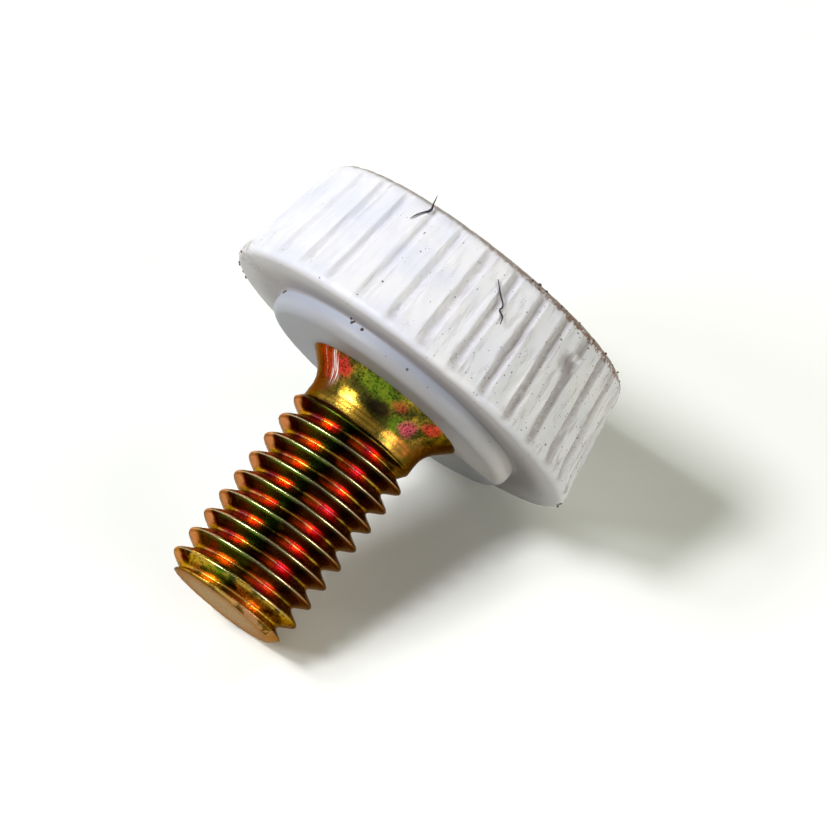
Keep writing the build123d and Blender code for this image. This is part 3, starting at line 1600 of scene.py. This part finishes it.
@dataclass
class Stage:
    """The pale floor, the soft lamps and the camera."""

    pixels: int = 828
    pixels_per_mm: float = 24.35
    distance_pixels: float = 7000.0
    camera_azimuth: float = -137.55
    camera_elevation: float = 45.38
    boss_x: float = 384.4
    boss_y: float = 398.4
    sensor: float = 36.0
    clip: Span = (0.01, 10.0)
    floor_size: float = 0.6
    floor_colour: Colour = (0.97, 0.99, 0.93, 1.0)
    bounce_colour: Colour = (0.45, 0.46, 0.42, 1.0)
    floor_glow: float = 0.04
    ambient: float = 0.08
    ambient_colour: Colour = (1.0, 1.0, 0.82, 1.0)
    backdrop_fade: float = 0.8
    backdrop_heights: Span = (0.25, 0.8)
    lamps: Sequence[Lamp] = (
        Lamp("key", 150.0, 57.0, 0.14, 0.56, COOL_LIGHT),
        Lamp("low_key", 152.0, 38.0, 0.14, 0.22, COOL_LIGHT),
        Lamp("side_key", 126.0, 50.0, 0.14, 0.24, COOL_LIGHT),
        Lamp("back", 60.0, 22.0, 0.20, 0.14, WARM_LIGHT),
        Lamp("fill", -86.0, 12.0, 0.20, 0.42, (1.0, 0.98, 0.90)),
        Lamp("top_fill", -36.0, 60.0, 0.20, 0.12, WARM_LIGHT),
    )

    def build(self, stance: Stance) -> None:
        """Builds floor, world, lamps and camera.

        Args:
            stance: How the knob lies in the frame.
        """
        self._floor()
        self._world()
        for lamp in self.lamps:
            lamp.build(stance.origin)
        self._camera(stance)
        bpy.context.scene.view_settings.view_transform = "Standard"

    def _seen_ray(self, graph: Graph) -> Term:
        """1 for rays from the camera and for those that metal or glass sends on."""
        path = graph.node("ShaderNodeLightPath")
        seen = graph.out(path, "Is Camera Ray").at_least(graph.out(path, "Is Glossy Ray"))
        return seen.at_least(graph.out(path, "Is Transmission Ray"))

    def _floor(self) -> None:
        """A plain pale floor that keeps the knob's shadow."""
        half = self.floor_size / 2
        points = [(-half, -half, 0), (half, -half, 0), (half, half, 0), (-half, half, 0)]
        made = mesh_object("Floor", np.array(points), [(0, 1, 2, 3)])
        material, graph = new_material("floor")
        seen = self._seen_ray(graph)
        tint = graph.mix(seen, self.bounce_colour, self.floor_colour)
        diffuse = graph.term("ShaderNodeBsdfDiffuse", None, {"Color": tint})
        inputs = {"Color": grey(1.0), "Strength": seen * self.floor_glow}
        glow = graph.term("ShaderNodeEmission", None, inputs)
        both = graph.term("ShaderNodeAddShader", None, {0: diffuse, 1: glow})
        graph.node("ShaderNodeOutputMaterial", None, {"Surface": both})
        made.data.materials.append(material)

    def _world(self) -> None:
        """An even soft light, seen as a white backdrop that darkens overhead."""
        world = bpy.data.worlds.new("studio")
        world.use_nodes = True
        world.node_tree.nodes.clear()
        graph = Graph(world.node_tree)
        _, _, up = graph.split(graph.term("ShaderNodeTexCoord", key="Generated"))
        backdrop = 1 - self.backdrop_fade * up.rise(*self.backdrop_heights)
        seen = self._seen_ray(graph)
        inputs = {
            "Color": graph.mix(seen, self.ambient_colour, grey(1.0)),
            "Strength": seen * backdrop + (1 - seen) * self.ambient,
        }
        sky = graph.term("ShaderNodeBackground", None, inputs)
        graph.node("ShaderNodeOutputWorld", None, {"Surface": sky})
        bpy.context.scene.world = world

    def _camera(self, stance: Stance) -> None:
        """A long lens at the photograph's angle, aimed by where the boss face shows.

        Args:
            stance: How the knob lies in the frame.
        """
        back = direction(self.camera_azimuth, self.camera_elevation)
        right = Vector((0.0, 0.0, 1.0)).cross(back).normalized()
        above = back.cross(right)
        middle = self.pixels / 2
        pixel = MM / self.pixels_per_mm
        aim = stance.origin - right * (self.boss_x - middle) * pixel
        aim = aim - above * (middle - self.boss_y) * pixel
        data = bpy.data.cameras.new("camera")
        data.sensor_width = self.sensor
        data.lens = self.sensor * self.distance_pixels / self.pixels
        data.clip_start, data.clip_end = self.clip
        camera = linked("camera", data)
        turn = Matrix((right, above, back)).transposed().to_quaternion()
        set_pose(camera, aim + back * self.distance_pixels * pixel, turn)
        bpy.context.scene.camera = camera


def main() -> None:
    """Builds the dressed knob and its stage."""
    logging.basicConfig(level=logging.INFO, format="%(name)s: %(message)s")
    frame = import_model()
    stance = Stance.from_record(frame["record"])
    grip = Grip()
    screw = Screw()
    upper_places = (
        (116.5, 6.75), (115.6, 6.4), (114.8, 6.05), (116.0, 5.85), (117.2, 5.6), (118.0, 5.3),
    )
    side_places = (
        (85.0, 5.4), (82.0, 5.0), (79.0, 4.6), (79.2, 4.45), (77.4, 4.3), (76.6, 4.0),
    )
    lint = [
        Lint("LintTop", upper_places, knot=2),
        Lint("LintSide", side_places, radius=0.036),
    ]
    rim, top, boss = grip.rim_radius, grip.top_radius - 0.2, grip.boss_radius + 0.14
    crumbs = [
        Crumbs("CrumbsLeftRim", 16, 172.0, 206.0, rim, 1.1, seed=3),
        Crumbs("CrumbsLowRim", 12, -22.0, 4.0, rim, 1.1, seed=4),
        Crumbs("CrumbsTopEdge", 34, 12.0, 78.0, top, 6.3, size=0.07, seed=5),
        Crumbs("CrumbsCrease", 5, 112.0, 124.0, boss, 0.82, size=0.08, seed=6),
        Crumbs("CrumbsCorner", 3, 166.0, 170.0, boss, 0.8, size=0.09, seed=7),
    ]
    pieces = [grip.build(stance), screw.build(stance)]
    pieces += [hair.build(stance, grip) for hair in lint]
    pieces += [group.build(stance) for group in crumbs]
    for piece in pieces:
        log.info("%s: %d faces", piece.name, len(piece.data.polygons))
    Stage().build(stance)


if __name__ == "__main__":
    main()
